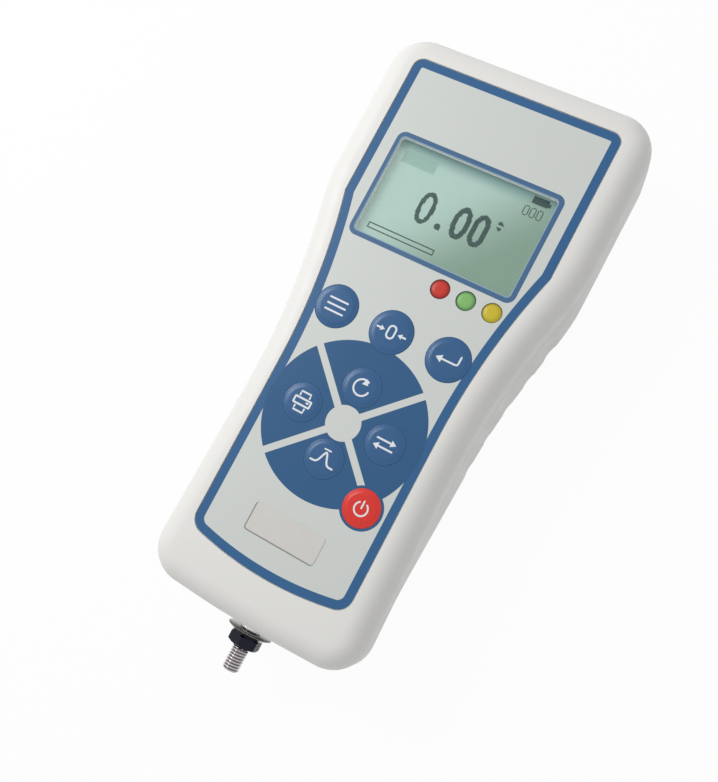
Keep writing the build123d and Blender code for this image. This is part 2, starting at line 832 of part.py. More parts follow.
with BuildPart() as bush:
    with BuildSketch(tail_plane(-bush_flange_thick)):
        Circle(bush_flange_radius)
    extrude(amount=-bush_flange_thick)
    with BuildSketch(tail_plane(0)):
        Circle(bush_radius)
    extrude(amount=-(bush_length - bush_flange_thick))
    with BuildSketch(tail_plane(-bush_flange_thick)):
        Circle(shaft_radius + shaft_running_gap)
    extrude(amount=-bush_length, mode=Mode.SUBTRACT)
bush.part.label = "shaft_bush"
export_step(bush.part, "parts/shaft_bush.step")

# --------------------------------------------------------------------------
# Battery pack, inserts and case screws
# --------------------------------------------------------------------------
with BuildPart() as battery:
    with BuildSketch(Plane.XZ.offset(-battery_head)):
        first = -(cell_count - 1) * battery_radius
        with Locations((0, floor_z + battery_radius)):
            with GridLocations(2 * battery_radius, 1, cell_count, 1):
                Circle(battery_radius)
            Rectangle(battery_width - 2 * battery_radius, 1.5 * battery_radius)
    extrude(amount=battery_length)
battery.part.label = "battery_pack"
export_step(battery.part, "parts/battery_pack.step")

with BuildPart() as inserts:
    posts(insert_places, insert_radius, 0, insert_length)
    ring_holes(insert_places, insert_bore_radius, 0, insert_length - 1)
inserts.part.label = "stand_inserts"
export_step(inserts.part, "parts/stand_inserts.step")

with BuildPart() as case_screws:
    head_under = case_bore_depth - case_screw_head_height
    posts(post_places, case_screw_head_radius, head_under, case_bore_depth)
    posts(post_places, case_screw_radius, case_bore_depth, seam_height + case_screw_bite)
    # cross recess
    for x, y in post_places:
        with BuildSketch(Plane.XY.offset(head_under)):
            with Locations((x, y)):
                Rectangle(case_screw_radius * 2, case_screw_radius * 0.4)
                Rectangle(case_screw_radius * 0.4, case_screw_radius * 2)
        extrude(amount=case_screw_head_height / 2, mode=Mode.SUBTRACT)
case_screws.part.label = "case_screws"
export_step(case_screws.part, "parts/case_screws.step")
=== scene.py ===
# %% [markdown]
# # A hand-held digital force gauge
# The gauge is a two-part moulded housing with a printed keypad film, a liquid crystal
# display and a threaded sensing shaft at its tail. Its solids come from CAD as a fixed
# frame. This notebook gives them their finishes and adds what CAD leaves plain: the
# printing, the domed keys, the lamp lenses, the display's figures and the thread.

# %% Load the frame and keep its box
import math

import bmesh
import bpy
from mathutils import Matrix, Vector


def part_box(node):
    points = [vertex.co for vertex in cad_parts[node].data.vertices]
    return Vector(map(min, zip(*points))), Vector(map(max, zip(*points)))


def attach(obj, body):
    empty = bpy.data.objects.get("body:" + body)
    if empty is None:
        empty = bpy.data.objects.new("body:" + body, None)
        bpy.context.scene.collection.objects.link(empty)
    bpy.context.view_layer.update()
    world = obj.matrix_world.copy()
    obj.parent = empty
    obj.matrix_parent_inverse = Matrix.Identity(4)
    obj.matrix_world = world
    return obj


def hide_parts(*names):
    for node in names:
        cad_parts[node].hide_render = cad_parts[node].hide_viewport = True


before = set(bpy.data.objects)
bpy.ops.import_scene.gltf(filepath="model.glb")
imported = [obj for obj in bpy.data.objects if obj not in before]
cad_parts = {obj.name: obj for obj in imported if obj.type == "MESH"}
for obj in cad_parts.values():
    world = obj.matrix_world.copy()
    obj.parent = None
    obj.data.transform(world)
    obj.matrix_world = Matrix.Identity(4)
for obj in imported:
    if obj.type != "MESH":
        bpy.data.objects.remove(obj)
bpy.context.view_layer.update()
MM = 0.001

# %% [markdown]
# Every size below is in millimetres, in the CAD's own axes: X across the gauge, Y towards
# the display, Z up from the back face. What the CAD can tell is read from its boxes. The
# other places are measured from the tail wall.

# %% Levels and stations of the gauge
OVERLAY_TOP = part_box("panel_overlay")[1].z / MM
GLASS_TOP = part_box("display_glass")[1].z / MM
TAIL_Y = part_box("front_shell")[0].y / MM
HEAD_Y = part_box("front_shell")[1].y / MM
PAD_Y = TAIL_Y + 71.9
ROW_Y = PAD_Y + 33.2
WINDOW_Y = PAD_Y + 77.2
LAMPS_Y = PAD_Y + 52.8
AXIS_Z = 20.0  # height of the sensing axis
KEY_GAP = 0.15  # between a key and the film round it
FILM = 0.03  # one layer of print
print("overlay at", round(OVERLAY_TOP, 2), "tail at", round(TAIL_Y, 2))

# %% [markdown]
# ## Camera, light and ground
# Instruments are usually shown under one large soft box with plenty of fill. A wide area
# lamp above the head's left side gives the slow fall of light along the panel. The world
# gives the fill. What the camera sees past the gauge is plain white, and the floor mixes
# its own shaded colour in, so the gauge still stands on a shadow.


# %% Helpers: a small hand for node trees, new objects and colours
class Bench:
    """Adds nodes to one tree; a value that is a socket is linked, any other is set."""

    def __init__(self, tree):
        self.tree = tree

    def add(self, kind, values=None, **settings):
        node = self.tree.nodes.new(kind)
        for key, value in settings.items():
            setattr(node, key, value)
        for socket, value in (values or {}).items():
            if isinstance(value, bpy.types.NodeSocket):
                self.link(value, node.inputs[socket])
            else:
                node.inputs[socket].default_value = value
        return node

    def link(self, source, target):
        self.tree.links.new(source, target)

    def math(self, operation, *terms):
        values = dict(enumerate(terms))
        return self.add("ShaderNodeMath", values, operation=operation).outputs[0]

    def fade(self, value, start, end):
        """0 to 1, softly, as a value goes from one length in mm to another."""
        span = {"Value": value, "From Min": start * MM, "From Max": end * MM}
        return self.add("ShaderNodeMapRange", span, interpolation_type="SMOOTHSTEP").outputs[0]

    def mix(self, share, first, second):
        """A colour between two, each of them a socket or a plain colour."""
        values = {0: share, 6: first, 7: second}
        return self.add("ShaderNodeMix", values, data_type="RGBA").outputs[2]


def put(name, data):
    """New object in the scene, at the origin."""
    piece = bpy.data.objects.new(name, data)
    bpy.context.scene.collection.objects.link(piece)
    return piece


def ink(red, green, blue):
    """Linear colour from a display colour of 0 to 255."""
    channels = []
    for value in (red, green, blue):
        share = value / 255
        linear = share / 12.92 if share <= 0.04045 else ((share + 0.055) / 1.055) ** 2.4
        channels.append(linear)
    return (*channels, 1.0)


print("ivory is", [round(value, 3) for value in ink(230, 229, 226)])

# %% Camera
scene = bpy.context.scene
lens = bpy.data.cameras.new("gauge_camera")
lens.sensor_width = 36
lens.lens = 42.65
lens.clip_start = 0.01
camera = put("gauge_camera", lens)
camera_axes = Matrix(
    ((0.85950, -0.43594, 0.26685), (0.46950, 0.87974, -0.07501), (-0.20206, 0.18976, 0.96081))
)
eye = Vector((79.08, -32.24, 325.83)) * MM
camera.matrix_world = Matrix.Translation(eye) @ camera_axes.to_4x4()
scene.camera = camera
scene.view_settings.view_transform = "Standard"
print("camera at", [round(value, 3) for value in eye])


# %% Soft box and world fill
def soft_box(name, place, aim, size, power):
    lamp = bpy.data.lights.new(name, "AREA")
    lamp.shape = "DISK"
    lamp.size = size
    lamp.energy = power
    direction = Vector(aim) - Vector(place)
    facing = direction.to_track_quat("-Z", "Y").to_matrix().to_4x4()
    put(name, lamp).matrix_world = Matrix.Translation(place) @ facing


soft_box("soft_box", place=(-0.42, 0.12, 0.44), aim=(0, 0, 0.02), size=0.34, power=1.9)


def seen_plainly(bench):
    """1 for rays from the camera, through the clear pane or off a mirror, 0 for light's own."""
    rays = bench.add("ShaderNodeLightPath").outputs
    seen = bench.math("MAXIMUM", rays["Is Camera Ray"], rays["Is Transmission Ray"])
    return bench.math("MAXIMUM", seen, rays["Is Glossy Ray"])


world = bpy.data.worlds.new("studio")
scene.world = world
world.use_nodes = True
sky = Bench(world.node_tree)
world.node_tree.nodes.clear()
fill_strength = 0.56
level = sky.math("MULTIPLY_ADD", seen_plainly(sky), 1 - fill_strength, fill_strength)
backing = sky.add("ShaderNodeBackground", {"Color": (1, 1, 1, 1), "Strength": level})
sky.add("ShaderNodeOutputWorld", {"Surface": backing.outputs[0]})
print("world fill", fill_strength)

# %% Floor
floor_mesh = bpy.data.meshes.new("studio_floor")
reach = 2.0
under = -0.02 * MM
corners = [(-reach, -reach), (reach, -reach), (reach, reach), (-reach, reach)]
floor_mesh.from_pydata([(x, y, under) for x, y in corners], [], [(0, 1, 2, 3)])
studio_floor = put("studio_floor", floor_mesh)
paper = bpy.data.materials.new("studio_paper")
paper.use_nodes = True
paper.node_tree.nodes.clear()
sheet = Bench(paper.node_tree)
white_share = 0.95
share = sheet.math("MULTIPLY", seen_plainly(sheet), white_share)
shaded = sheet.add("ShaderNodeBsdfDiffuse", {"Color": (0.82, 0.82, 0.82, 1)})
bright = sheet.add("ShaderNodeEmission")
mixed = sheet.add(
    "ShaderNodeMixShader", {0: share, 1: shaded.outputs[0], 2: bright.outputs[0]}
)
sheet.add("ShaderNodeOutputMaterial", {"Surface": mixed.outputs[0]})
floor_mesh.materials.append(paper)
print("floor laid,", white_share, "of it plain white to the camera")

# %% [markdown]
# ## Finishes
# Plastic is never one flat colour. The mould's surface has a fine spark grain, the pigment
# drifts a little, and the gloss changes from place to place. One recipe makes most finishes
# here: a slow noise drifts the colour, a middle noise drifts the roughness and a fine noise
# lifts the surface. What is the same everywhere is set on the shader's own socket.


# %% Helper: one recipe for plastics, films and metals
def opened(material):
    """A hand on a finish's nodes, its shader's sockets and its Object coordinates."""
    tree = Bench(material.node_tree)
    shader = material.node_tree.nodes["Principled BSDF"]
    return tree, shader.inputs, tree.add("ShaderNodeTexCoord").outputs["Object"]


def finish(
    name, colour, drift, drift_size, rough, rough_size,
    grain=0.0, grain_size=0.35, brushed=None, **settings
):
    """Finish with colour, roughness and grain from noises whose sizes are in mm."""
    material = bpy.data.materials.new(name)
    material.use_nodes = True
    tree, shader, place = opened(material)
    if brushed:
        place = tree.add("ShaderNodeMapping", {"Vector": place, "Scale": brushed}).outputs[0]

    def noise(size, detail):
        values = {"Vector": place, "Scale": 1 / (size * MM), "Detail": detail}
        return tree.add("ShaderNodeTexNoise", values).outputs["Fac"]

    dark = tuple(channel * (1 - drift) for channel in colour[:3]) + (1.0,)
    light = tuple(min(1.0, channel * (1 + drift)) for channel in colour[:3]) + (1.0,)
    tree.link(tree.mix(noise(drift_size, 3), dark, light), shader["Base Color"])
    span = {"From Min": 0.3, "From Max": 0.7, "To Min": rough[0], "To Max": rough[1]}
    gloss = tree.add("ShaderNodeMapRange", {"Value": noise(rough_size, 4), **span})
    tree.link(gloss.outputs[0], shader["Roughness"])
    if grain:
        bump = {"Height": noise(grain_size, 2), "Strength": grain, "Distance": 0.05 * MM}
        tree.link(tree.add("ShaderNodeBump", bump).outputs[0], shader["Normal"])
    for socket, value in settings.items():
        shader[socket.replace("_", " ")].default_value = value
    return material


SATIN = {"rough": (0.3, 0.38), "rough_size": 10, "grain": 0.25, "grain_size": 0.3}
KEY_SATIN = {"rough": (0.24, 0.34), "rough_size": 5, "grain": 0.25, "grain_size": 0.3}
GLOSS = {"Specular_IOR_Level": 0.35}
IVORY = finish("moulded_ivory", ink(230, 229, 226), 0.012, 30, (0.42, 0.52), 8, 0.35, 0.5)
GREY_FILM = finish("grey_film", ink(208, 212, 209), 0.012, 40, **SATIN)
BLUE_PRINT = finish("blue_print", ink(38, 87, 131), 0.03, 30, **SATIN, **GLOSS)
BORDER_PRINT = finish("border_print", ink(44, 95, 142), 0.03, 30, **SATIN, **GLOSS)
PALE_PRINT = finish("pale_blue_print", ink(68, 104, 142), 0.04, 30, **SATIN, **GLOSS)
# pale blue of the opening's cut edge, with a painted highlight in it
EDGE_HIGHLIGHT_PRINT = finish("edge_blue_highlight", ink(132, 163, 184), 0.04, 30, **SATIN, **GLOSS)
BLUE_KEY = finish("blue_key_film", ink(47, 92, 138), 0.03, 12, **KEY_SATIN, **GLOSS)
RED_KEY = finish("red_key_film", ink(219, 50, 42), 0.03, 12, **KEY_SATIN, **GLOSS)
WHITE_PRINT = finish("white_print", ink(228, 232, 236), 0.02, 8, (0.32, 0.4), 5, 0.2, 0.3)
print("main finishes made")

# %% Finishes of the metals
METAL = {"Metallic": 1.0}
ACROSS, FINE_ACROSS, FINE_ALONG = (1, 0.3, 1), (1, 12, 1), (14, 1, 1)  # ways of brushing
CHROME = finish(
    "polished_chrome", ink(132, 132, 128), 0.75, 7, (0.08, 0.2), 1.5, 0.15, 0.4, ACROSS, **METAL
)
NUT_BLACK = finish(
    "blued_steel", ink(8, 11, 34), 0.2, 2, (0.3, 0.42), 1.5, 0.3, 0.3, Specular_IOR_Level=0.2
)
BRASS = finish("turned_brass", ink(201, 164, 92), 0.08, 2, (0.22, 0.34), 1, 0.3, 0.2, **METAL)
ZINC = finish("zinc_plate", ink(186, 186, 184), 0.06, 2, (0.25, 0.4), 1, 0.3, 0.3, **METAL)
PLATED_SHEET = finish(
    "plated_sheet", ink(196, 196, 192), 0.04, 8, (0.3, 0.42), 3, 0.4, 0.6, FINE_ACROSS, **METAL
)
CELL_METAL = finish(
    "milled_aluminium", ink(205, 206, 208), 0.04, 6, (0.28, 0.42), 2, 0.5, 0.5, FINE_ALONG, **METAL
)
print("metal finishes made")

# %% Finishes of the inner parts
SOLDER_MASK = finish("solder_mask", ink(24, 92, 52), 0.25, 6, (0.25, 0.45), 3, 0.5, 1.0)
BLACK_PLASTIC = finish("black_moulding", ink(38, 38, 40), 0.15, 5, (0.4, 0.6), 2, 0.6, 0.3)
WHITE_PLASTIC = finish("diffuser_white", ink(232, 232, 230), 0.02, 10, (0.5, 0.65), 3, 0.3, 0.3)
FLEX_FILM = finish("amber_flex", ink(205, 128, 52), 0.12, 3, (0.25, 0.4), 2, 0.3, 0.4)
WRAP = finish("battery_wrap", ink(40, 84, 150), 0.1, 8, (0.2, 0.35), 4, 0.3, 1.5, Coat_Weight=0.3)
print("inner finishes made")

# %% [markdown]
# The CAD nodes whose shapes are right keep their own meshes and only take a finish. Their
# meshes are loose triangles, so a small Geometry Nodes tree merges their points, shades the
# faces smooth and keeps the real edges sharp.


# %% Helper: trees with named inputs
def new_tree(name, sizes):
    """Geometry Nodes tree with a geometry input and output and named inputs after it."""
    tree = bpy.data.node_groups.new(name, "GeometryNodeTree")
    face = tree.interface
    face.new_socket("Geometry", in_out="INPUT", socket_type="NodeSocketGeometry")
    face.new_socket("Geometry", in_out="OUTPUT", socket_type="NodeSocketGeometry")
    for label, kind in sizes.items():
        face.new_socket(label, in_out="INPUT", socket_type="NodeSocket" + kind)
    bench = Bench(tree)
    return tree, bench, bench.add("NodeGroupInput").outputs


def run_tree(piece, tree, **values):
    """Put a tree on an object and set its inputs by their sockets' identifiers."""
    modifier = piece.modifiers.new(tree.name, "NODES")
    modifier.node_group = tree
    for item in tree.interface.items_tree:
        if item.in_out == "INPUT" and item.name in values:
            modifier[item.identifier] = values[item.name]


def close_tree(bench, mesh, material):
    """The last steps of a tree that makes a piece: real geometry with its finish."""
    real = bench.add("GeometryNodeRealizeInstances", {0: mesh}).outputs[0]
    dressed = bench.add("GeometryNodeSetMaterial", {"Geometry": real, "Material": material})
    bench.add("NodeGroupOutput", {0: dressed.outputs[0]})


def creased(bench, mesh, limit):
    """Smooth faces, with the edges that turn by more than a limit kept sharp."""
    smooth = bench.add("GeometryNodeSetShadeSmooth", {"Geometry": mesh})
    turn = bench.add("GeometryNodeInputMeshEdgeAngle").outputs["Unsigned Angle"]
    sharp = bench.math("GREATER_THAN", turn, limit)
    edges = {"Geometry": smooth.outputs[0], "Selection": sharp, "Shade Smooth": False}
    return bench.add("GeometryNodeSetShadeSmooth", edges, domain="EDGE").outputs[0]


WELD = 0.002 * MM
shade_tree, bench, given = new_tree("shade_by_angle", {"Crease": "Float"})
joined = bench.add("GeometryNodeMergeByDistance", {"Geometry": given[0], "Distance": WELD})
bench.add("NodeGroupOutput", {0: creased(bench, joined.outputs[0], given["Crease"])})
print("shading tree ready")

# %% Give every kept CAD node its finish
NODE_FINISHES = {
    IVORY: ["front_shell", "rear_shell"],
    GREY_FILM: ["panel_overlay"],
    PLATED_SHEET: ["display_bezel", "key_switches", "data_port"],
    WHITE_PLASTIC: ["display_backlight"],
    SOLDER_MASK: ["main_board"],
    ZINC: ["board_screws", "bracket_screws", "load_cell_bolt", "case_screws"],
    BLACK_PLASTIC: ["sounder", "power_jack"],
    CELL_METAL: ["load_cell", "load_cell_bracket", "shaft_bush"],
    FLEX_FILM: ["load_cell_lead"],
    WRAP: ["battery_pack"],
    BRASS: ["stand_inserts"],
}
CREASE = math.radians(28)


def dress(node, material):
    """Finish for a CAD node that keeps its own mesh."""
    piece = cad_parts[node]
    piece.data.materials.clear()
    piece.data.materials.append(material)
    run_tree(piece, shade_tree, Crease=CREASE)


for material, nodes in NODE_FINISHES.items():
    for node in nodes:
        dress(node, material)
print(sum(len(nodes) for nodes in NODE_FINISHES.values()), "CAD nodes dressed")

# %% [markdown]
# ## The printing on the panel film
# The film is printed in blue: a border, the round field under the four keys with its grey
# cross left open, a ring round the power key and a frame round the display. Each print is
# a closed plate a few hundredths of a millimetre thick, drawn from corners and radii.


# %% Helper: outlines from arcs and corners
def arc(centre, radius, start, end, steps=24):
    """Points on an arc, from one angle to another in degrees."""
    angles = [math.radians(start + (end - start) * k / steps) for k in range(steps + 1)]
    return [(centre[0] + radius * math.cos(a), centre[1] + radius * math.sin(a)) for a in angles]


def circle(centre, radius, steps=96):
    return arc(centre, radius, 0, 360, steps)[:-1]


def oblong(centre, width, height, corner=0.0):
    """Rectangle with round corners, counter-clockwise."""
    across, along = width / 2 - corner, height / 2 - corner
    spots = [(across, along), (-across, along), (-across, -along), (across, -along)]
    if not corner:
        return [(centre[0] + x, centre[1] + y) for x, y in spots]
    points = []
    for quarter, (x, y) in enumerate(spots):
        spot = (centre[0] + x, centre[1] + y)
        points += arc(spot, corner, 90 * quarter, 90 * quarter + 90, 8)
    return points


def inset(points, amount):
    """Move a counter-clockwise outline inwards by an amount."""
    moved = []
    for before, here, after in zip(points[-1:] + points[:-1], points, points[1:] + points[:1]):
        came = (Vector(here) - Vector(before)).normalized()
        goes = (Vector(after) - Vector(here)).normalized()
        inward = Vector((-came.y - goes.y, came.x + goes.x)).normalized()
        reach = amount / max(0.3, inward.dot(Vector((-came.y, came.x))))
        moved.append((here[0] + inward.x * reach, here[1] + inward.y * reach))
    return moved


def stroke(points, width):
    """Outline of a pen line with round ends."""
    half = width / 2
    left, right = [], []
    for index, here in enumerate(points):
        before = Vector(points[max(0, index - 1)])
        after = Vector(points[min(len(points) - 1, index + 1)])
        along = (after - before).normalized()
        side = Vector((-along.y, along.x)) * half
        left.append((here[0] + side.x, here[1] + side.y))
        right.append((here[0] - side.x, here[1] - side.y))

    def end_cap(here, behind):
        heading = math.degrees(math.atan2(here[1] - behind[1], here[0] - behind[0]))
        return arc(here, half, heading - 90, heading + 90, 8)

    return end_cap(points[-1], points[-2]) + left[::-1] + end_cap(points[0], points[1]) + right


print("outline helpers ready; a round has", len(circle((0, 0), 1)), "points")

# %% Helper: thin printed plates from outlines
def settle(live, name):
    """Swap a live object for the plain mesh that its curve or modifiers make."""
    graph = bpy.context.evaluated_depsgraph_get()
    mesh = bpy.data.meshes.new_from_object(live.evaluated_get(graph))
    bpy.data.objects.remove(live)
    mesh.name = name
    return put(name, mesh)


def tidy(piece):
    """Merge doubles and turn the faces of a closed shape outwards."""
    mesh = bmesh.new()
    mesh.from_mesh(piece.data)
    bmesh.ops.remove_doubles(mesh, verts=mesh.verts, dist=0.0005 * MM)
    bmesh.ops.recalc_face_normals(mesh, faces=mesh.faces)
    mesh.to_mesh(piece.data)
    mesh.free()
    return piece


def join(pieces, name):
    """One object from several, all of them at the origin."""
    mesh = bmesh.new()
    for piece in pieces:
        mesh.from_mesh(piece.data)
        bpy.data.objects.remove(piece)
    data = bpy.data.meshes.new(name)
    mesh.to_mesh(data)
    mesh.free()
    return put(name, data)


SHAPE_STEP = 0.002  # each shape of a plate lies this much higher, so that no two tops fight


def plate(name, shapes, under, top):
    """Flat plate from shapes; each shape is an outline and its holes, in mm."""
    parts = []
    for number, loops in enumerate(shapes):
        curve = bpy.data.curves.new(name, "CURVE")
        curve.dimensions = "2D"
        curve.fill_mode = "BOTH"
        step = number * SHAPE_STEP
        curve.extrude = (top + step - under) / 2 * MM
        for loop in loops:
            spline = curve.splines.new("POLY")
            spline.points.add(len(loop) - 1)
            spline.use_cyclic_u = True
            for point, (x, y) in zip(spline.points, loop):
                point.co = (x * MM, y * MM, 0, 1)
        part = settle(put(name, curve), f"{name}_{number}")
        part.data.transform(Matrix.Translation((0, 0, (top + step + under) / 2 * MM)))
        parts.append(tidy(part))
    return join(parts, name)


def wear(piece, material, body, slot, *nodes):
    """Finish, body and the CAD nodes that a new piece stands for; the slot argument is not used.
    """
    piece.data.materials.clear()
    piece.data.materials.append(material)
    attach(piece, body)
    if nodes:
        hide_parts(*nodes)
    print(piece.name, "rides", body, "with", len(piece.data.polygons), "faces")


# %% Outline of the panel film
PANEL_HEAD = HEAD_Y - 9.7
PANEL_TAIL = TAIL_Y + 16.85
HEAD_HALF, GRIP_HALF = 37.6, 29.4
SHOULDER_Y = PANEL_HEAD - 52.4
WAIST_Y = PANEL_HEAD - 113.2
TAIL_BEND = 118.0


def panel_outline():
    """Half the film's edge from the tail's middle to the head's, then its mirror."""
    neck_bend = ((SHOULDER_Y - WAIST_Y) ** 2 + (HEAD_HALF - GRIP_HALF) ** 2) / (
        2 * (HEAD_HALF - GRIP_HALF)
    )
    neck_turn = math.degrees(math.asin((SHOULDER_Y - WAIST_Y) / neck_bend))
    corner, head_corner = 5.5, 3.5
    corner_centre_y = PANEL_TAIL + TAIL_BEND - math.sqrt(
        (TAIL_BEND - corner) ** 2 - (GRIP_HALF - corner) ** 2
    )
    meet = math.degrees(math.asin((GRIP_HALF - corner) / (TAIL_BEND - corner)))
    half = arc((0, PANEL_TAIL + TAIL_BEND), TAIL_BEND, -90, -90 + meet, 12)
    half += arc((GRIP_HALF - corner, corner_centre_y), corner, -90 + meet, 0, 12)[1:]
    half += arc((GRIP_HALF + neck_bend, WAIST_Y), neck_bend, 180, 180 - neck_turn, 24)
    half += arc((HEAD_HALF - head_corner, PANEL_HEAD - head_corner), head_corner, 0, 90, 10)
    return half + [(-x, y) for x, y in reversed(half[1:])]


film_edge = panel_outline()
print("film edge has", len(film_edge), "points, tail to head", round(PANEL_HEAD - PANEL_TAIL, 2))

# %% Keys and lamps of the panel
PAD_ACROSS, PAD_ALONG, ROW_PITCH = 15.4, 12.9, 20.7
KEYS = {
    "key_menu": (-ROW_PITCH, ROW_Y, 7.4),
    "key_zero": (0, ROW_Y, 7.4),
    "key_enter": (ROW_PITCH, ROW_Y, 7.4),
    "key_reset": (0, PAD_Y + PAD_ALONG, 6.65),
    "key_print": (-PAD_ACROSS, PAD_Y, 6.65),
    "key_unit": (PAD_ACROSS, PAD_Y, 6.65),
    "key_mode": (0, PAD_Y - PAD_ALONG, 6.65),
    "key_power": (18.3, PAD_Y - 21.0, 6.35),
}
LAMPS = {"led_red": 7.5, "led_green": 16.8, "led_yellow": 26.1}
print(len(KEYS), "keys and", len(LAMPS), "lamps")


# %% Cut a print where the film is open
def cut_out(piece, cutter):
    """Take a cutter's shape out of a piece with an exact boolean."""
    modifier = piece.modifiers.new("cut", "BOOLEAN")
    modifier.operation = "DIFFERENCE"
    modifier.solver = "EXACT"
    modifier.use_self = True
    modifier.object = cutter
    name = piece.name
    piece.name = name + "_live"
    return settle(piece, name)


low, high = OVERLAY_TOP - 1, OVERLAY_TOP + 1
key_holes = [[circle((x, y), radius + KEY_GAP)] for x, y, radius in KEYS.values()]
key_cutter = plate("key_cutter", key_holes, low, high)
pad_centre = (0, PAD_Y)
bar_width, bar_length, hub_radius = 2.4, 60, 6
bar = oblong((0, 0), bar_width, bar_length)


def turned_by(points, centre, angle):
    """Points turned about the origin and then moved to a centre."""
    swing = Matrix.Rotation(math.radians(angle), 2)
    moved = [swing @ Vector(point) for point in points]
    return [(centre[0] + point.x, centre[1] + point.y) for point in moved]


cross = [[turned_by(bar, pad_centre, angle)] for angle in (45, -45)]
cross_cutter = plate("cross_cutter", cross + [[circle(pad_centre, hub_radius)]], low, high)
print("cutters for", len(key_holes), "keys and the cross")

# %% Print the border, the pad, the power ring and the display's frame
print_under = OVERLAY_TOP - FILM
border_gap, border_width, pad_radius, ring_radius = 0.02, 2.95, 27.5, 7.2
border_edges = [inset(film_edge, border_gap), inset(film_edge, border_width)]
border = plate("printed_border", [border_edges], print_under, OVERLAY_TOP + FILM)
pad_edge = circle(pad_centre, pad_radius, 160)
pad = plate("printed_pad", [[pad_edge]], print_under, OVERLAY_TOP + 1.3 * FILM)
ring_edge = circle(KEYS["key_power"][:2], ring_radius)
ring = plate("printed_ring", [[ring_edge]], print_under, OVERLAY_TOP + 1.6 * FILM)
frame_outer = oblong((0.1, WINDOW_Y), width=61.1, height=39.4, corner=3.0)
frame_inner = oblong((0, WINDOW_Y), width=57.3, height=35.5, corner=1.25)
frame_print = plate("printed_frame", [[frame_outer, frame_inner]], print_under, OVERLAY_TOP + FILM)
for cutter in (key_cutter, cross_cutter):
    pad = cut_out(pad, cutter)
border = cut_out(border, key_cutter)
ring = cut_out(ring, key_cutter)
for piece in (pad, ring):
    wear(piece, BLUE_PRINT, "body", "key_blue")
wear(border, BORDER_PRINT, "body", "key_blue")
wear(frame_print, PALE_PRINT, "body", "key_blue")
for cutter in (key_cutter, cross_cutter):
    bpy.data.objects.remove(cutter)

# %% The pale line inside the frame, the opening's cut edge with a painted highlight, and the dark gaps round the keys
# partly the opening's pale cut edge, partly a painted highlight from the pane's edge
line_edges = [oblong((0, WINDOW_Y), width=58.0, height=36.2, corner=1.6), frame_inner]
window_line = plate("window_line", [line_edges], print_under, OVERLAY_TOP + 1.5 * FILM)
wear(window_line, EDGE_HIGHLIGHT_PRINT, "body", "key_blue")
seal_rings = [
    [circle((x, y), radius + KEY_GAP - 0.01), circle((x, y), radius + 0.03)]
    for x, y, radius in KEYS.values()
]
seals = plate("key_seals", seal_rings, OVERLAY_TOP - 0.3, OVERLAY_TOP + 1.2 * FILM)
wear(seals, BLUE_PRINT, "body", "key_blue")

# %% [markdown]
# ## The parting line
# The two shells meet at a fine line round the wall. They touch without a gap, so the line
# is a ribbon. A slice through the shell just above the joint gives its path. The slice
# turns inwards at the shaft's bore, so only the part on the outside is kept, from one side
# of the bore round to the other, and a Geometry Nodes tree sweeps a flat profile along it.

# %% The ribbon tree
ribbon_tree, bench, given = new_tree(
    "ribbon_on_path", {"Width": "Float", "Height": "Float", "Finish": "Material"}
)
path = bench.add("GeometryNodeMeshToCurve", {"Mesh": given["Geometry"]}).outputs[0]
section = bench.add(
    "GeometryNodeCurvePrimitiveQuadrilateral",
    {"Width": given["Width"], "Height": given["Height"]},
).outputs[0]
swept = bench.add(
    "GeometryNodeCurveToMesh", {"Curve": path, "Profile Curve": section, "Fill Caps": True}
)
flat = bench.add(
    "GeometryNodeSetShadeSmooth", {"Geometry": swept.outputs[0], "Shade Smooth": False}
)
close_tree(bench, flat.outputs[0], given["Finish"])
print("ribbon tree has", len(ribbon_tree.nodes), "nodes")

# %% Slice of the front shell
wall_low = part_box("front_shell")[0]
line_height, line_depth = 0.2 * MM, 0.012 * MM
line_z = wall_low.z + line_height / 2
shell_slice = bmesh.new()
shell_slice.from_mesh(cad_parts["front_shell"].data)
bmesh.ops.remove_doubles(shell_slice, verts=shell_slice.verts, dist=WELD)
cut = bmesh.ops.bisect_plane(
    shell_slice,
    geom=shell_slice.verts[:] + shell_slice.edges[:] + shell_slice.faces[:],
    dist=WELD / 4,
    plane_co=(0, 0, line_z),
    plane_no=(0, 0, 1),
)
cut_edges = {item for item in cut["geom_cut"] if isinstance(item, bmesh.types.BMEdge)}


def walk_round(edges):
    """Corners of a closed loop of edges, in order, from its widest point."""
    start = max((corner for edge in edges for corner in edge.verts), key=lambda v: v.co.x)
    corners, here, came = [start], start, None
    while True:
        came = next(e for e in here.link_edges if e in edges and e is not came)
        here = came.other_vert(here)
        if here is start:
            return [corner.co.copy() for corner in corners]
        corners.append(here)


outline = walk_round(cut_edges)
shell_slice.free()
print("the slice has", len(outline), "corners")

# %% Parting line round the shells
SEAM_FINISH = finish("seam_shadow", ink(168, 167, 164), 0.05, 4, (0.5, 0.6), 3)
tail_wall, bore_reach = wall_low.y + 0.01 * MM, 5 * MM
mouth = [k for k, spot in enumerate(outline) if spot.y < tail_wall and abs(spot.x) < bore_reach]
outer = outline[mouth[-1] :] + outline[: mouth[0] + 1]
path_mesh = bpy.data.meshes.new("seam_path")
steps = [(k, k + 1) for k in range(len(outer) - 1)]
path_mesh.from_pydata([(spot.x, spot.y, line_z) for spot in outer], steps, [])
live = put("seam_path", path_mesh)
run_tree(live, ribbon_tree, Width=line_depth, Height=line_height, Finish=SEAM_FINISH)
seam_line = tidy(settle(live, "parting_line"))
wear(seam_line, SEAM_FINISH, "body", "housing")
print("parting line, in mm:", [round(size / MM, 2) for size in seam_line.dimensions])

# %% [markdown]
# ## Turned pieces
# A key dome, a lamp lens, the collar and the nut's chamfer are profiles turned about an
# axis. One Geometry Nodes tree does them all: it lays out a grid, reads the profile's point
# for each row, turns it by the column's angle and merges the seam and the poles. The screw
# thread is rolled up from a grid in the same way, so both share two helpers.


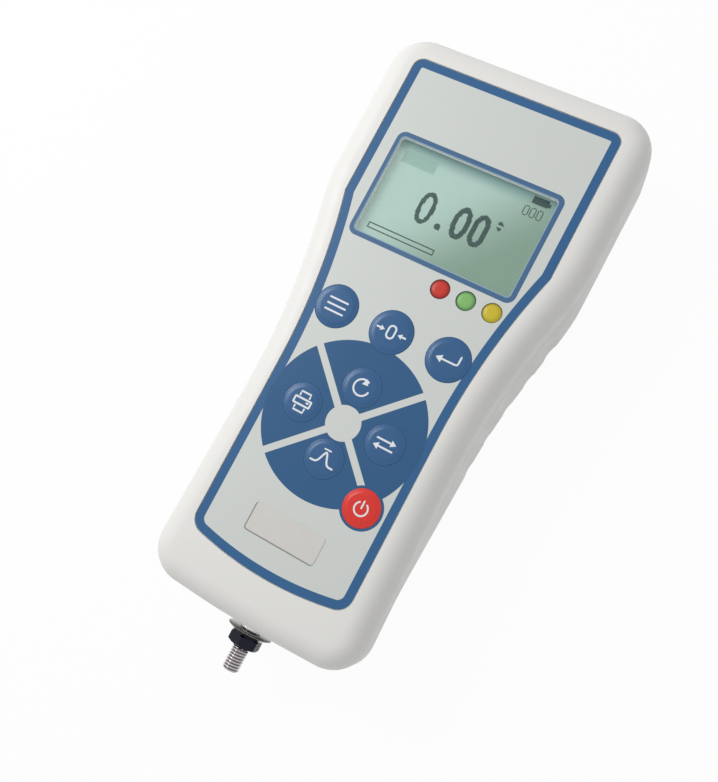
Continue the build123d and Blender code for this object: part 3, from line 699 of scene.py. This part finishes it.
# %% Helpers: number a grid's points and roll it up
def numbered_grid(bench, rows, sides):
    """A grid, the row of each of its points and its share of a full turn."""
    columns = bench.math("ADD", sides, 1)
    grid = bench.add("GeometryNodeMeshGrid", {"Vertices X": rows, "Vertices Y": columns})
    index = bench.add("GeometryNodeInputIndex").outputs[0]
    row = bench.math("FLOOR", bench.math("DIVIDE", bench.math("ADD", index, 0.5), columns))
    column = bench.math("SUBTRACT", index, bench.math("MULTIPLY", row, columns))
    return grid.outputs[0], row, bench.math("DIVIDE", column, sides)


def roll_up(bench, grid, around, radius, height, crease, material):
    """Put each point of a grid at its angle, radius and height, and close the tree."""
    angle = bench.math("MULTIPLY", around, 2 * math.pi)
    spot = {
        0: bench.math("MULTIPLY", radius, bench.math("COSINE", angle)),
        1: bench.math("MULTIPLY", radius, bench.math("SINE", angle)),
        2: height,
    }
    place = bench.add("ShaderNodeCombineXYZ", spot).outputs[0]
    rolled = bench.add("GeometryNodeSetPosition", {"Geometry": grid, "Position": place}).outputs[0]
    merge = {"Geometry": rolled, "Distance": WELD / 2}
    closed = bench.add("GeometryNodeMergeByDistance", merge).outputs[0]
    close_tree(bench, creased(bench, closed, crease), material)


print("points closer than", WELD / 2 / MM, "mm are merged")

# %% The turning tree
turn_tree, bench, given = new_tree(
    "turned_profile", {"Sides": "Int", "Crease": "Float", "Finish": "Material"}
)
profile = given["Geometry"]
rows = bench.add("GeometryNodeAttributeDomainSize", {"Geometry": profile}).outputs["Point Count"]
grid, row, around = numbered_grid(bench, rows, given["Sides"])
position = bench.add("GeometryNodeInputPosition").outputs[0]
sample = {"Geometry": profile, "Value": position, "Index": row}
spot = bench.add("GeometryNodeSampleIndex", sample, data_type="FLOAT_VECTOR").outputs[0]
parts = bench.add("ShaderNodeSeparateXYZ", {0: spot}).outputs
roll_up(bench, grid, around, parts[0], parts[2], given["Crease"], given["Finish"])


def turn(name, material, profile, sides=64, crease=35):
    """Closed turned piece about the Z axis from (radius, height) points in mm."""
    mesh = bpy.data.meshes.new(name)
    points = [(radius * MM, 0, height * MM) for radius, height in profile]
    mesh.from_pydata(points, [(k, k + 1) for k in range(len(points) - 1)], [])
    live = put(name + "_profile", mesh)
    run_tree(live, turn_tree, Sides=sides, Crease=math.radians(crease), Finish=material)
    return tidy(settle(live, name))


def ease(start, end, steps):
    """Points along a soft S from one profile point to another."""
    run = []
    for share in (k / steps for k in range(steps + 1)):
        swell = (1 - math.cos(math.pi * share)) / 2
        across = start[0] + (end[0] - start[0]) * share
        run.append((across, start[1] + (end[1] - start[1]) * swell))
    return run


print("turning tree has", len(turn_tree.nodes), "nodes")

# %% [markdown]
# The keys are domes of the same film, raised a little over the panel, with a flange below
# it that holds them in. Each one rides on its own body, so that it goes down when pressed.

# %% Domed keys
DOME_TOP = OVERLAY_TOP + 0.46
DOME_RIM = OVERLAY_TOP + 0.12


def dome_key(name, material, x, y, radius):
    node_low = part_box(name)[0].z / MM
    foot, flange_under, flange_top = node_low, node_low + 1.0, node_low + 2.0
    profile = [(0, DOME_TOP)]
    profile += ease((radius - 2.1, DOME_TOP), (radius - 0.35, DOME_RIM + 0.06), 8)
    profile += [(radius - 0.1, DOME_RIM), (radius, DOME_RIM - 0.1)]
    profile += [(radius, flange_top), (radius + 1, flange_top), (radius + 1, flange_under)]
    profile += [(1.8, flange_under), (1.8, foot), (0, foot)]
    key = turn(name + "_dome", material, profile, sides=72, crease=40)
    key.data.transform(Matrix.Translation((x * MM, y * MM, 0)))
    return key


for name, (x, y, radius) in KEYS.items():
    material, slot = (RED_KEY, "key_red") if name == "key_power" else (BLUE_KEY, "key_blue")
    wear(dome_key(name, material, x, y, radius), material, name, slot, name)

# %% [markdown]
# ## Signs on the keys
# The keys carry plain signs that any instrument might have: bars for the menu, a nought
# between arrows for zero, a return arrow, a turning arrow, a sheet in a printer, two
# arrows for the units and a peak for the mode. They are drawn with one pen width and then
# enlarged together.

# %% Signs drawn as pen lines
PEN = 0.5
SIGN_SCALE = 1.25
SIGN_DEPTH = 0.15


def head_of_arrow(tip, heading, size):
    """Triangle whose point is at the tip and looks along a heading in degrees."""
    corners = [(0, 0), (-size, size * 0.62), (-size, -size * 0.62)]
    return [turned_by(corners, tip, heading)]


def sign_menu():
    return [[stroke([(-2.6, y), (2.6, y)], PEN)] for y in (-1.7, 0, 1.7)]


def sign_zero():
    edge = oblong((0, 0), 2.5, 4.0, 1.24)
    nought = [edge, inset(edge, PEN)]
    return [
        nought,
        head_of_arrow((-1.9, 0), 0, 1.2),
        [stroke([(-4.1, 0), (-3.3, 0)], PEN)],
        head_of_arrow((1.9, 0), 180, 1.2),
        [stroke([(4.1, 0), (3.3, 0)], PEN)],
    ]


def sign_enter():
    path = [(2.9, 1.9), (2.9, 0.2), (2.75, -0.35), (2.2, -0.5), (-1.8, -0.5)]
    return [[stroke(path, PEN)], head_of_arrow((-3.3, -0.5), 180, 1.7)]


def sign_reset():
    sweep = arc((0, 0), 2.2, 60, 60 + 285, 36)
    return [[stroke(sweep, PEN)], head_of_arrow((1.35, 1.05), -25, 1.5)]


def sign_print():
    width, height = 5.2, 2.2
    edge = oblong((0, 0), width, height, 0.4)
    hollow = oblong((0, 0), width - 2 * PEN, height - 2 * PEN, 0.05)
    sheet_in = [(-1.4, 1.55), (-1.4, 2.6), (1.4, 2.6), (1.4, 1.55)]
    sheet_out = [(x, -y) for x, y in sheet_in]
    lamp = oblong((1.4, 0.15), 0.8, 0.45)
    return [[edge, hollow], [stroke(sheet_in, PEN)], [stroke(sheet_out, PEN)], [lamp]]


def sign_unit():
    shapes = []
    for side in (1, -1):
        shapes.append([stroke([(-2.5 * side, 0.95 * side), (1.4 * side, 0.95 * side)], PEN)])
        shapes.append(head_of_arrow((2.9 * side, 0.95 * side), 0 if side > 0 else 180, 1.5))
    return shapes


def sign_mode():
    reach, peak, foot = 3.2, 3.2, -1.5
    places = [-reach + 2 * reach * k / 40 for k in range(41)]
    wave = [(across, peak * math.exp(-(across**2)) + foot) for across in places]
    return [[stroke(wave, PEN)], [stroke([(-0.9, 2.45), (0.9, 2.45)], PEN * 0.8)]]


def sign_power():
    fine_pen = 0.46
    sweep = arc((0, -0.2), 1.8, 125, 125 + 290, 40)
    return [[stroke(sweep, fine_pen)], [stroke([(0, 0), (0, 1.9)], fine_pen)]]


# in the order of the keys
SIGNS = [sign_menu, sign_zero, sign_enter, sign_reset]
SIGNS += [sign_print, sign_unit, sign_mode, sign_power]
grown = Matrix.Diagonal((SIGN_SCALE, SIGN_SCALE, 1, 1))
for (name, (x, y, _)), draw in zip(KEYS.items(), SIGNS):
    sign = plate(name + "_sign", draw(), DOME_TOP - SIGN_DEPTH, DOME_TOP + FILM)
    sign.data.transform(Matrix.Translation((x * MM, y * MM, 0)) @ grown)
    wear(sign, WHITE_PRINT, name, "white_plastic")

# %% [markdown]
# ## Lamp lenses
# Each lamp is a lens of tinted plastic, lightly domed, over a small light source. Seen from
# outside, the tint is deepest at the rim and paler in the middle, so the finish reads its
# distance from the lens's own axis.


# %% Lens finish and lenses
def tint_heart(material, heart, reach, **mapping):
    """Blend a finish to another colour near a point or an axis, over a reach in mm."""
    tree, shader, place = opened(material)
    centred = tree.add("ShaderNodeMapping", {"Vector": place, **mapping}).outputs[0]
    far = tree.add("ShaderNodeVectorMath", {0: centred}, operation="LENGTH").outputs["Value"]
    outer = shader["Base Color"].links[0].from_socket
    tree.link(tree.mix(tree.fade(far, *reach), heart, outer), shader["Base Color"])


LENS_TINTS = {
    "led_red": (ink(150, 36, 32), ink(200, 58, 44)),
    "led_green": (ink(88, 140, 86), ink(132, 186, 108)),
    "led_yellow": (ink(176, 164, 40), ink(206, 186, 52)),
}
for name, x in LAMPS.items():
    rim, heart = LENS_TINTS[name]
    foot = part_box(name)[0].z / MM
    flange_top = foot + 1.5
    tint = finish(
        name + "_tint", rim, 0.05, 1.5, (0.3, 0.4), 1.5, 0.4, 0.6, Specular_IOR_Level=0.3
    )
    centre = (-x * MM, -LAMPS_Y * MM, -OVERLAY_TOP * MM)
    tint_heart(tint, heart, reach=(1.9, 3.1), Location=centre)
    profile = [(0, OVERLAY_TOP + 0.1)]
    profile += ease((1.6, OVERLAY_TOP + 0.09), (3.0, OVERLAY_TOP - 0.2), 8)
    profile += [(3.2, OVERLAY_TOP - 0.5), (3.2, flange_top)]
    profile += [(3.9, flange_top), (3.9, foot), (0, foot)]
    lens_piece = turn(name + "_lens", tint, profile, crease=50)
    lens_piece.data.transform(Matrix.Translation((x * MM, LAMPS_Y * MM, 0)))
    wear(lens_piece, tint, "body", "lens_" + name[4:], name)

# %% [markdown]
# ## The display
# A reflective liquid crystal display is grey-green. Here it is paler to the left and greener to
# the lower right, darker along the top in painted shade from the opening's edge, and a share
# of its tone glows as painted light. Its figures are made of square dots on a fixed pitch.
# A rule decides which dots are dark, and Geometry Nodes puts one thin tile on each.


# %% Display glass finish
# painted light: this share of the tone glows, so the deep opening's shade stays light
PAINTED_GLOW = 0.45  # share of the tone that shines by itself

GLASS_TONE = finish(
    "liquid_crystal", ink(184, 208, 200), 0.01, 12, (0.3, 0.4), 6, Specular_IOR_Level=0.2
)
tree, shader, place = opened(GLASS_TONE)
across, along = tree.add("ShaderNodeSeparateXYZ", {0: place}).outputs[:2]
slant = tree.math("MULTIPLY_ADD", along, -0.9, across)
# painted shade: darker along the top, where the opening's edge shades it
from_top = tree.fade(along, WINDOW_Y + 12.5, WINDOW_Y + 18)
tone = shader["Base Color"].links[0].from_socket
tone = tree.mix(tree.fade(slant, -62, -24), tone, ink(138, 164, 148))
tone = tree.mix(from_top, tone, ink(128, 158, 156))
# painted glow: the tone also shines as emission, and the rest of it is the colour
tree.link(tone, shader["Emission Color"])
shader["Emission Strength"].default_value = PAINTED_GLOW * 1.1
tree.link(tree.mix(PAINTED_GLOW, tone, (0, 0, 0, 1)), shader["Base Color"])
dress("display_glass", GLASS_TONE)
print("display tone set")

# %% Window pane
pane = bpy.data.materials.new("clear_pane")
pane.use_nodes = True
pane.node_tree.nodes.clear()
clear = Bench(pane.node_tree)
gleam = clear.add("ShaderNodeBsdfGlossy", {"Color": (1, 1, 1, 1), "Roughness": 0.3})
through = clear.add("ShaderNodeBsdfTransparent", {"Color": (0.97, 0.985, 0.98, 1)})
facing = clear.add("ShaderNodeFresnel", {"IOR": 1.2})
both = clear.add(
    "ShaderNodeMixShader", {0: facing.outputs[0], 1: through.outputs[0], 2: gleam.outputs[0]}
)
clear.add("ShaderNodeOutputMaterial", {"Surface": both.outputs[0]})
dress("display_window", pane)
print("pane is clear")

# %% Rules for the display's figures
DOT, SMALL_DOT = 0.43, 0.4
SQUARENESS = 2.3  # 2 gives an oval, more a squarer one


def nought(x, y, width, height, pen):
    """True between two rounded ovals."""

    def level(across, along, half_width, half_height):
        return abs(across / half_width) ** SQUARENESS + abs(along / half_height) ** SQUARENESS

    def rule(px, py):
        outer = level(px - x, py - y, width / 2, height / 2) <= 1
        inner = level(px - x, py - y, width / 2 - pen, height / 2 - pen) <= 1
        return outer and not inner

    return rule


def disc(x, y, radius):
    return lambda px, py: math.hypot(px - x, py - y) <= radius


def box(low_x, high_x, low_y, high_y, pen=100):
    """True in a box, or only along its edge when a thin pen is given."""
    return lambda px, py: 0 <= min(px - low_x, high_x - px, py - low_y, high_y - py) < pen


def wedge(x, base_y, tip_y, half):
    """True in a triangle on a level base."""

    def rule(px, py):
        share = (tip_y - py) / (tip_y - base_y)
        return 0 <= share <= 1 and abs(px - x) <= half * share

    return rule


def small_nought(column, line):
    """A nought of five dots by nine, one dot thick, with its corners left out."""
    low_x, low_y = column * SMALL_DOT, line * SMALL_DOT
    high_x, high_y = low_x + 5 * SMALL_DOT, low_y + 9 * SMALL_DOT

    def rule(px, py):
        across, along = min(px - low_x, high_x - px), min(py - low_y, high_y - py)
        thin = 0 < min(across, along) < SMALL_DOT
        return thin and max(across, along) > SMALL_DOT

    return rule


print("dots of", DOT, "and", SMALL_DOT, "mm")

# %% Which dots are dark
MAIN_Y = WINDOW_Y - 0.95
MARKS = [
    nought(-10.4, MAIN_Y, 5.9, 11.5, 1.5),
    disc(-4.0, MAIN_Y - 4.4, 1.15),
    nought(2.6, MAIN_Y - 0.1, 6.0, 11.6, 1.8),
    nought(9.25, MAIN_Y - 0.1, 6.0, 11.6, 1.8),
    wedge(14.7, WINDOW_Y + 3.6, WINDOW_Y + 5.1, 1.3),
    wedge(14.7, WINDOW_Y + 2.9, WINDOW_Y + 1.4, 1.3),
    box(20.2, 25.8, WINDOW_Y + 14.6, WINDOW_Y + 17.3),
    box(25.8, 26.6, WINDOW_Y + 15.2, WINDOW_Y + 16.7),
    box(-26.0, -0.8, WINDOW_Y - 15.1, WINDOW_Y - 12.7, DOT),
]
COUNTER_LINE = round((WINDOW_Y + 9.7) / SMALL_DOT)
COUNTER = [small_nought(column, COUNTER_LINE) for column in (47, 53, 59)]
TAG = [box(-26.1, -13.8, WINDOW_Y + 10.6, WINDOW_Y + 14.7)]


def dots(marks, pitch):
    """Centres of the dots that any rule darkens, on one pitch over the whole display."""
    across = range(math.floor(-28 / pitch), math.ceil(28 / pitch))
    along = range(math.floor((WINDOW_Y - 18) / pitch), math.ceil((WINDOW_Y + 18) / pitch))
    spots = [((column + 0.5) * pitch, (line + 0.5) * pitch) for column in across for line in along]
    return [spot for spot in spots if any(rule(*spot) for rule in marks)]


print("dark dots:", len(dots(MARKS, DOT)))

# %% The tile tree
tile_tree, bench, given = new_tree(
    "tiles_on_points", {"Size": "Float", "Thickness": "Float", "Finish": "Material"}
)
tile_size = bench.add(
    "ShaderNodeCombineXYZ", {0: given["Size"], 1: given["Size"], 2: given["Thickness"]}
).outputs[0]
tile = bench.add("GeometryNodeMeshCube", {"Size": tile_size}).outputs[0]
laid = bench.add("GeometryNodeInstanceOnPoints", {"Points": given["Geometry"], "Instance": tile})
close_tree(bench, laid.outputs[0], given["Finish"])


def tiles(name, marks, material, pitch, gap):
    """Thin tiles on the display glass, one for each dark dot."""
    mesh = bpy.data.meshes.new(name)
    level = (GLASS_TOP + 0.5 * FILM) * MM
    mesh.from_pydata([(x * MM, y * MM, level) for x, y in dots(marks, pitch)], [], [])
    live = put(name + "_points", mesh)
    size = (pitch - gap) * MM
    run_tree(live, tile_tree, Size=size, Thickness=FILM * MM, Finish=material)
    wear(settle(live, name), material, "body", "display")


DARK_DOT = finish("dark_dot", ink(58, 84, 82), 0.2, 5, (0.3, 0.4), 3, Specular_IOR_Level=0.3)
FAINT_DOT = finish("faint_dot", ink(168, 199, 190), 0.03, 6, (0.3, 0.4), 3, Specular_IOR_Level=0.3)
tiles("display_figures", MARKS, DARK_DOT, DOT, 0.02)
tiles("display_counter", COUNTER, DARK_DOT, SMALL_DOT, 0.04)
tiles("display_tag", TAG, FAINT_DOT, DOT, 0.06)

# %% [markdown]
# ## Rating plate
# The small bare plate below the keys lies on a dark sheet of painted shadow, which shows at
# its left and lower edges as a line. A Bevel modifier breaks its edge, so that it catches the
# light as a cut sheet does.

# %% Rating plate and its painted shadow line
PLATE_FINISH = finish("rating_plate", ink(210, 208, 203), 0.03, 5, (0.3, 0.42), 3, 0.3, 0.4)
# painted shadow: a dark sheet set off to the left and down, showing past the plate's edges
SHADOW_LINE_INK = finish("plate_shadow_line", ink(142, 141, 136), 0.08, 5, (0.4, 0.5), 3)
plate_spot, line_spot = (0.2, PAD_Y - 39.4), (-0.1, PAD_Y - 39.65)
line_edge = oblong(line_spot, 25.9, 9.9, 1.1)
line = plate("plate_shadow_line", [[line_edge]], print_under, OVERLAY_TOP + FILM)
wear(line, SHADOW_LINE_INK, "body", "black_plastic")
plate_edge = oblong(plate_spot, 25.5, 9.5, 0.9)
rating = plate("rating_plate_live", [[plate_edge]], print_under, OVERLAY_TOP + 0.2)
rounding = rating.modifiers.new("broken_edge", "BEVEL")
rounding.width = 0.06 * MM
rounding.segments = 2
rating = settle(rating, "rating_plate")
wear(rating, PLATE_FINISH, "body", "white_plastic")

# %% [markdown]
# ## The threaded shaft
# The measured force enters through an M6 stud. A thread is a ridge that climbs one pitch
# for each turn. A grid is rolled into a tube, and each point's radius follows from its
# height along the stud and its angle, so the ridge runs round as a true helix. The ends
# are chamfered by limiting the radius near them, and closed on the axis.

# %% The thread tree
lengths = dict.fromkeys(("Start", "End", "Crest", "Depth", "Pitch", "Chamfer"), "Float")
thread_tree, bench, given = new_tree(
    "screw_thread", {"Sides": "Int", "Rows": "Int", **lengths, "Finish": "Material"}
)
rows = given["Rows"]
grid, row, around = numbered_grid(bench, bench.math("ADD", rows, 2), given["Sides"])


def clamped(value):
    return bench.math("MINIMUM", bench.math("MAXIMUM", value, 0), 1)


# the first and the last row are the points on the axis that close the ends
share = bench.math("DIVIDE", bench.math("SUBTRACT", row, 1), bench.math("SUBTRACT", rows, 1))
length = bench.math("SUBTRACT", given["End"], given["Start"])
height = bench.math("ADD", given["Start"], bench.math("MULTIPLY", clamped(share), length))
turns = bench.math("SUBTRACT", bench.math("DIVIDE", height, given["Pitch"]), around)
# a triangle wave with its tips cut flat, as crest and root are
wave = bench.math("ABSOLUTE", bench.math("MULTIPLY_ADD", bench.math("FRACT", turns), 2, -1))
flank = clamped(bench.math("MULTIPLY_ADD", wave, 1.36, -0.18))
ridge = bench.math("SUBTRACT", given["Crest"], bench.math("MULTIPLY", flank, given["Depth"]))
from_start = bench.math("SUBTRACT", height, given["Start"])
from_end = bench.math("SUBTRACT", given["End"], height)
end_limit = bench.math("ADD", bench.math("MINIMUM", from_start, from_end), given["Crest"])
radius = bench.math("MINIMUM", ridge, bench.math("SUBTRACT", end_limit, given["Chamfer"]))
after_first = bench.math("GREATER_THAN", row, 0.5)
before_last = bench.math("LESS_THAN", row, bench.math("ADD", rows, 0.5))
radius = bench.math("MULTIPLY", radius, bench.math("MULTIPLY", after_first, before_last))
roll_up(bench, grid, around, radius, height, math.radians(45), given["Finish"])
print("thread tree has", len(thread_tree.nodes), "nodes")

# %% The sensing shaft with its thread
# a turned piece's Z runs down the tail, on the sensing axis
DOWN_TAIL = Matrix.Translation((0, 0, AXIS_Z * MM)) @ Matrix.Rotation(math.radians(90), 4, "X")
shaft_low, shaft_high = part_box("sensing_shaft")
tip, inner = -shaft_low.y / MM, -shaft_high.y / MM
collar_face = -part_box("shaft_collar")[0].y / MM
bush_face = -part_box("shaft_collar")[1].y / MM
nut_end = -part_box("lock_nut")[0].y / MM

# painted shade: the thread's roots are darker than its crests
STUD_STEEL = finish("stud_steel", ink(226, 223, 226), 0.08, 1.5, (0.16, 0.3), 1, 0.3, 0.2, **METAL)
sensing_axis = {"Location": (0, 0, -AXIS_Z * MM), "Scale": (1, 0, 1)}
tint_heart(STUD_STEEL, ink(136, 130, 128), reach=(2.5, 2.92), **sensing_axis)
stem_end, stem_core = nut_end + 0.8, 2.45
stem_profile = [(0, inner), (4, inner), (4, bush_face), (stem_core, bush_face)]
stem_profile += [(stem_core, stem_end), (0, stem_end)]
stem = turn("shaft_stem", STUD_STEEL, stem_profile)
stud_start, pitch, rows_per_turn = nut_end + 0.3, 1.0, 14
live = put("stud_live", bpy.data.meshes.new("stud_thread"))
sizes = {"Start": stud_start, "End": tip, "Crest": 3.0, "Depth": 0.56, "Chamfer": 0.6}
sizes = {label: size * MM for label, size in sizes.items()}
rows = int((tip - stud_start) / pitch * rows_per_turn)
run_tree(live, thread_tree, Sides=56, Rows=rows, Pitch=pitch * MM, Finish=STUD_STEEL, **sizes)
stud = tidy(settle(live, "stud_thread"))
shaft = join([stem, stud], "threaded_shaft")
shaft.data.transform(DOWN_TAIL)
wear(shaft, STUD_STEEL, "shaft", "chrome", "sensing_shaft")

# %% [markdown]
# Behind the nut sits a shallow cone of polished steel. It is widest at its back edge, which
# stands clear of the housing, so that the shaft has room for the little that it gives.

# %% Cone-shaped collar
bore = 2.5
cone_back, cone_front = bush_face + 0.5, collar_face + 0.85
back_edge = [(bore, cone_back), (7.6, cone_back), (7.9, cone_back + 0.1), (8.0, cone_back + 0.28)]
cone = [(7.92, cone_back + 0.4), (7.0, cone_back + 0.85), (6.2, cone_front - 0.35)]
front_edge = [(5.7, cone_front), (bore, cone_front), (bore, cone_back)]
collar = turn("cone_collar", CHROME, back_edge + cone + front_edge, sides=96, crease=24)
collar.data.transform(DOWN_TAIL)
wear(collar, CHROME, "shaft", "chrome", "shaft_collar")

# %% [markdown]
# The lock nut is a hexagon bar, cut off and chamfered on both ends. The cone of the chamfer
# trims the six corners to arcs. Here the hexagon is a prism, and its shared volume with a
# turned chamfer blank is what is left, found by an exact boolean.

# %% Chamfered lock nut
nut_start = cone_front + 0.1
NUT_FLATS, NUT_TURN = 10.0, 31
corner_reach = NUT_FLATS / math.sqrt(3)
corner_angles = [math.radians(NUT_TURN + 60 * k) for k in range(6)]
corners = [(corner_reach * math.cos(a), corner_reach * math.sin(a)) for a in corner_angles]
nut_edges = [corners, circle((0, 0), bore, 64)]
hexagon = plate("lock_nut_hexagon", [nut_edges], nut_start, nut_end)
rim_reach, blank_reach = NUT_FLATS / 2 * 0.95, corner_reach + 0.1
slope = 0.55 * (blank_reach - rim_reach)
half_blank = [(0, nut_start), (rim_reach, nut_start), (blank_reach, nut_start + slope)]
other_half = [(radius, nut_start + nut_end - height) for radius, height in half_blank]
blank = turn("lock_nut_blank", NUT_BLACK, half_blank + other_half[::-1], sides=96, crease=24)
trim = hexagon.modifiers.new("chamfer", "BOOLEAN")
trim.operation = "INTERSECT"
trim.solver = "EXACT"
trim.object = blank
nut_piece = settle(hexagon, "hexagon_nut")
bpy.data.objects.remove(blank)
nut_piece.data.transform(DOWN_TAIL)
run_tree(nut_piece, shade_tree, Crease=math.radians(20))
nut_piece = settle(nut_piece, "hexagon_nut")
wear(nut_piece, NUT_BLACK, "nut", "chrome", "lock_nut")
